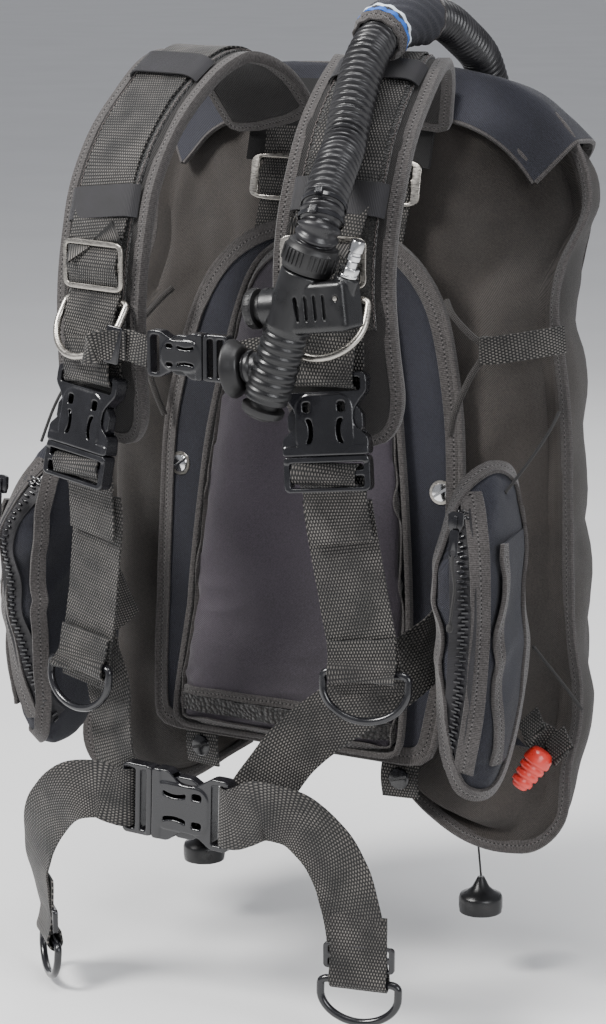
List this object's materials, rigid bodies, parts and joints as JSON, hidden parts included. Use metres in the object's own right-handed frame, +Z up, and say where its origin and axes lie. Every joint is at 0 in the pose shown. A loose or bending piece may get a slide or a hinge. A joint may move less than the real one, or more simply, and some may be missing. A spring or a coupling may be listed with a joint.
{
  "type": "buoyancy compensator vest",
  "caption": "Back-inflation buoyancy vest: padded harness with quick-release buckles on a soft wing, corrugated inflator hose, side pockets and tank bands.",
  "frame": {"origin": "centre of the flat rear face of the back plate's cradle, where the tank rests", "axes": "+Z up, -Y towards the front of the wearer, +X towards the wearer's left"},
  "size_m": [0.428, 0.4494, 0.7424],
  "materials": {
    "wing_cloth": "woven nylon, matt",
    "navy_cloth": "woven nylon, matt",
    "cushion_cloth": "smooth nylon",
    "bladder_film": "coated film",
    "pad_cloth": "woven nylon over foam",
    "webbing": "ribbed nylon webbing",
    "black_plastic": "moulded, satin to glossy",
    "matte_plastic": "moulded, matt",
    "plate_plastic": "moulded, matt",
    "hose_rubber": "corrugated rubber",
    "steel": "stainless, satin",
    "grip_red": "moulded rubber, red"
  },
  "bodies": {
    "harness": {"air_bladder": "bladder_film", "back_pad": "cushion_cloth", "back_panel": "pad_cloth", "back_plate": "plate_plastic", "collar_nut": "black_plastic", "dump_valve_left": "matte_plastic", "dump_valve_right": "matte_plastic", "hose_coupling": "steel", "hose_elbow": "matte_plastic", "hose_wrap": "pad_cloth", "inflator_body": "black_plastic", "inflator_hose": "hose_rubber", "lower_webbing_left": "webbing", "lower_webbing_right": "webbing", "mouthpiece": "matte_plastic", "neck_slide": "steel", "neck_webbing": "webbing", "pocket_left": "navy_cloth", "pocket_right": "navy_cloth", "shoulder_buckle_socket_left": "black_plastic", "shoulder_buckle_socket_right": "black_plastic", "shoulder_pad_left": "pad_cloth", "shoulder_pad_right": "pad_cloth", "shoulder_webbing_left": "webbing", "shoulder_webbing_right": "webbing", "sternum_buckle_socket": "black_plastic", "sternum_webbing_left": "webbing", "sternum_webbing_right": "webbing", "strap_slide_left": "steel", "strap_slide_right": "steel", "tank_band_lower": "webbing", "tank_band_upper": "webbing", "waist_buckle_socket": "black_plastic", "waist_webbing_left": "webbing", "waist_webbing_right": "webbing", "wing_front_shell": "wing_cloth", "wing_rear_shell": "wing_cloth", "yoke_panel": "navy_cloth"},
    "shoulder_d_ring_left": {"shoulder_d_ring_left": "steel"},
    "shoulder_plug_left": {"shoulder_buckle_plug_left": "black_plastic"},
    "lower_d_ring_left": {"lower_d_ring_left": "matte_plastic"},
    "zip_slider_left": {"zip_slider_left": "matte_plastic"},
    "dump_pull_left": {"dump_knob_left": "black_plastic", "dump_cord_left": "webbing"},
    "shoulder_d_ring_right": {"shoulder_d_ring_right": "steel"},
    "shoulder_plug_right": {"shoulder_buckle_plug_right": "black_plastic"},
    "lower_d_ring_right": {"lower_d_ring_right": "matte_plastic"},
    "zip_slider_right": {"zip_slider_right": "matte_plastic"},
    "dump_pull_right": {"dump_knob_right": "black_plastic", "dump_cord_right": "webbing"},
    "waist_d_ring_left": {"waist_d_ring_left": "matte_plastic"},
    "waist_plug": {"waist_buckle_plug": "black_plastic", "waist_tail_right": "webbing"},
    "waist_d_ring_right": {"waist_d_ring_right": "matte_plastic"},
    "sternum_plug": {"sternum_buckle_plug": "black_plastic"},
    "inflate_button": {"inflate_button": "black_plastic"},
    "exhaust_button": {"exhaust_button": "black_plastic"},
    "cam_lever_upper": {"cam_lever_upper": "matte_plastic"},
    "cam_lever_lower": {"cam_lever_lower": "matte_plastic"},
    "release_grip": {"release_grip": "grip_red"}
  },
  "joints": [
    {"name": "shoulder_d_ring_swing_left", "type": "hinge", "parent": "harness", "child": "shoulder_d_ring_left", "pos_m": [0.09397, -0.18832, 0.1545], "axis": [-0.9744, -0.225, 0], "range_deg": [-6, 6]},
    {"name": "shoulder_plug_pull_left", "type": "slide", "parent": "harness", "child": "shoulder_plug_left", "axis": [0.1231, -0.1231, -0.9847], "range_m": [0, 0.038]},
    {"name": "lower_d_ring_swing_left", "type": "hinge", "parent": "harness", "child": "lower_d_ring_left", "pos_m": [0.12103, -0.17798, -0.11], "axis": [-0.9744, -0.225, 0], "range_deg": [0, 100]},
    {"name": "zip_left", "type": "slide", "parent": "harness", "child": "zip_slider_left", "axis": [0, -0.0995, -0.995], "range_m": [0, 0.13]},
    {"name": "dump_pull_left", "type": "slide", "parent": "harness", "child": "dump_pull_left", "axis": [0, 0, -1], "range_m": [0, 0.012], "stiffness_N_per_m": 150},
    {"name": "shoulder_d_ring_swing_right", "type": "hinge", "parent": "harness", "child": "shoulder_d_ring_right", "pos_m": [-0.09397, -0.18832, 0.1405], "axis": [-0.9744, 0.225, 0], "range_deg": [-6, 30]},
    {"name": "shoulder_plug_pull_right", "type": "slide", "parent": "harness", "child": "shoulder_plug_right", "axis": [-0.1231, -0.1231, -0.9847], "range_m": [0, 0.038]},
    {"name": "lower_d_ring_swing_right", "type": "hinge", "parent": "harness", "child": "lower_d_ring_right", "pos_m": [-0.12103, -0.17798, -0.134], "axis": [-0.9744, 0.225, 0], "range_deg": [0, 100]},
    {"name": "zip_right", "type": "slide", "parent": "harness", "child": "zip_slider_right", "axis": [0, -0.0995, -0.995], "range_m": [0, 0.13]},
    {"name": "dump_pull_right", "type": "slide", "parent": "harness", "child": "dump_pull_right", "axis": [0, 0, -1], "range_m": [0, 0.012], "stiffness_N_per_m": 150},
    {"name": "waist_d_ring_swing_left", "type": "hinge", "parent": "harness", "child": "waist_d_ring_left", "pos_m": [0.1235, -0.19, -0.3345], "axis": [-0.9806, -0.1961, 0], "range_deg": [-60, 60]},
    {"name": "waist_plug_pull", "type": "slide", "parent": "harness", "child": "waist_plug", "axis": [-0.9996, 0, 0.03], "range_m": [0, 0.042]},
    {"name": "waist_d_ring_swing_right", "type": "hinge", "parent": "waist_plug", "child": "waist_d_ring_right", "pos_m": [-0.151, -0.18, -0.3525], "axis": [-0.717, 0.6971, 0], "range_deg": [-60, 60]},
    {"name": "sternum_plug_pull", "type": "slide", "parent": "harness", "child": "sternum_plug", "axis": [1, 0, 0], "range_m": [0, 0.029]},
    {"name": "inflate_press", "type": "slide", "parent": "harness", "child": "inflate_button", "axis": [0.9911, 0.0132, 0.1327], "range_m": [0, 0.004], "stiffness_N_per_m": 400},
    {"name": "exhaust_press", "type": "slide", "parent": "harness", "child": "exhaust_button", "axis": [0.3149, 0.03, 0.9487], "range_m": [0, 0.004], "stiffness_N_per_m": 400},
    {"name": "cam_lever_upper", "type": "hinge", "parent": "harness", "child": "cam_lever_upper", "pos_m": [0.0508, 0.17999, 0.06], "axis": [0, 0, 1], "range_deg": [0, 110]},
    {"name": "cam_lever_lower", "type": "hinge", "parent": "harness", "child": "cam_lever_lower", "pos_m": [0.0508, 0.17999, -0.095], "axis": [0, 0, 1], "range_deg": [0, 110]},
    {"name": "release_pull", "type": "slide", "parent": "harness", "child": "release_grip", "axis": [-0.466, -0.3107, -0.8284], "range_m": [0, 0.03]}
  ]
}
